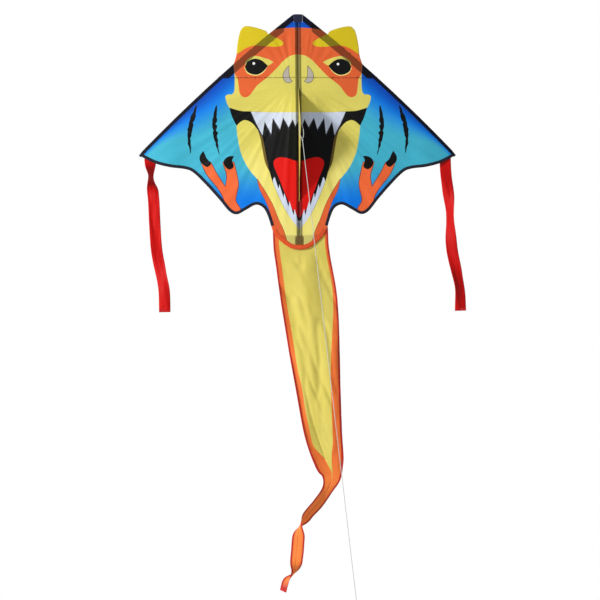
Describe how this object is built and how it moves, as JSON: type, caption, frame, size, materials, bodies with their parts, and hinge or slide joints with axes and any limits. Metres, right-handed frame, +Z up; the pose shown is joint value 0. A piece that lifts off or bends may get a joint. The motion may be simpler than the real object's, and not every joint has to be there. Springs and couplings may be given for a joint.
{
  "type": "dragon kite",
  "caption": "Single-line delta kite with a dragon-face sail, fold-forward wings, clip-in spreader, keel with tow eyelet, long hanging tail, wing-tip streamers and flying line.",
  "frame": {"origin": "centre of the tow eyelet in the keel, where the flying line holds the kite", "axes": "+Z up along the spine towards the nose, +Y to the back of the sail, +X towards the right of a viewer in front"},
  "size_m": [1.1692, 0.1861, 2.2058],
  "materials": {
    "sail_cloth": "satin",
    "keel_cloth": "satin",
    "tail_cloth": "satin",
    "red_ribbon": "satin",
    "navy_tape": "matte",
    "orange_tape": "satin",
    "brown_patch": "matte",
    "rod": "satin",
    "cap": "matte",
    "eyelet": "satin",
    "line": "matte"
  },
  "bodies": {
    "spine": {"spine_rod": "rod", "spine_sleeve": "navy_tape", "spine_top_cap": "cap", "nose_patch": "navy_tape", "spine_end_patch": "brown_patch"},
    "left_wing": {"left_sail": "sail_cloth", "left_leading_sleeve_upper": "navy_tape", "left_leading_sleeve_lower": "navy_tape", "left_leading_edge_rod": "rod", "left_rod_end_cap": "cap", "left_wingtip_pocket": "navy_tape", "left_trailing_binding": "navy_tape", "left_jaw_hem": "orange_tape", "left_spreader_clip": "cap"},
    "right_wing": {"right_sail": "sail_cloth", "right_leading_sleeve_upper": "navy_tape", "right_leading_sleeve_lower": "navy_tape", "right_leading_edge_rod": "rod", "right_rod_end_cap": "cap", "right_wingtip_pocket": "navy_tape", "right_trailing_binding": "navy_tape", "right_jaw_hem": "orange_tape", "right_spreader_clip": "cap"},
    "spreader": {"spreader_rod": "rod", "spreader_stop_left": "cap", "spreader_stop_right": "cap"},
    "keel": {"keel_panel": "keel_cloth", "keel_edge_tape": "keel_cloth", "tow_grommet": "eyelet"},
    "line": {"tow_loop": "line", "tow_knot": "line", "flying_line": "line", "line_end_knot": "line", "line_end_loop": "line"},
    "tail": {"tail_panel": "tail_cloth", "tail_binding_left": "orange_tape", "tail_binding_right": "orange_tape", "tail_hem": "red_ribbon"},
    "left_streamer": {"left_streamer": "red_ribbon", "left_streamer_hem": "red_ribbon"},
    "right_streamer": {"right_streamer": "red_ribbon", "right_streamer_hem": "red_ribbon"}
  },
  "joints": [
    {"name": "left_wing_fold", "type": "hinge", "parent": "spine", "child": "left_wing", "pos_m": [-0.003, 0.112, 0], "axis": [0, 0, 1], "range_deg": [0, 60]},
    {"name": "right_wing_fold", "type": "hinge", "parent": "spine", "child": "right_wing", "pos_m": [0.003, 0.112, 0], "axis": [0, 0, -1], "range_deg": [0, 60]},
    {"name": "spreader_unclip", "type": "slide", "parent": "spine", "child": "spreader", "axis": [0, 1, 0], "range_m": [0, 0.05]},
    {"name": "keel_sway", "type": "hinge", "parent": "spine", "child": "keel", "pos_m": [0, 0.1106, 0], "axis": [0, 0, 1], "range_deg": [-10, 10], "stiffness_Nm_per_rad": 0.02},
    {"name": "line_swing", "type": "hinge", "parent": "keel", "child": "line", "pos_m": [0, 0, 0], "axis": [-1, 0, 0], "range_deg": [-2, 60]},
    {"name": "tail_swing", "type": "hinge", "parent": "spine", "child": "tail", "pos_m": [0, 0.1165, -0.379], "axis": [1, 0, 0], "range_deg": [0, 70]},
    {"name": "left_streamer_swing", "type": "hinge", "parent": "left_wing", "child": "left_streamer", "pos_m": [-0.531, 0.16338, -0.102], "axis": [1, 0, 0], "range_deg": [0, 75]},
    {"name": "right_streamer_swing", "type": "hinge", "parent": "right_wing", "child": "right_streamer", "pos_m": [0.531, 0.16338, -0.102], "axis": [1, 0, 0], "range_deg": [0, 75]}
  ]
}
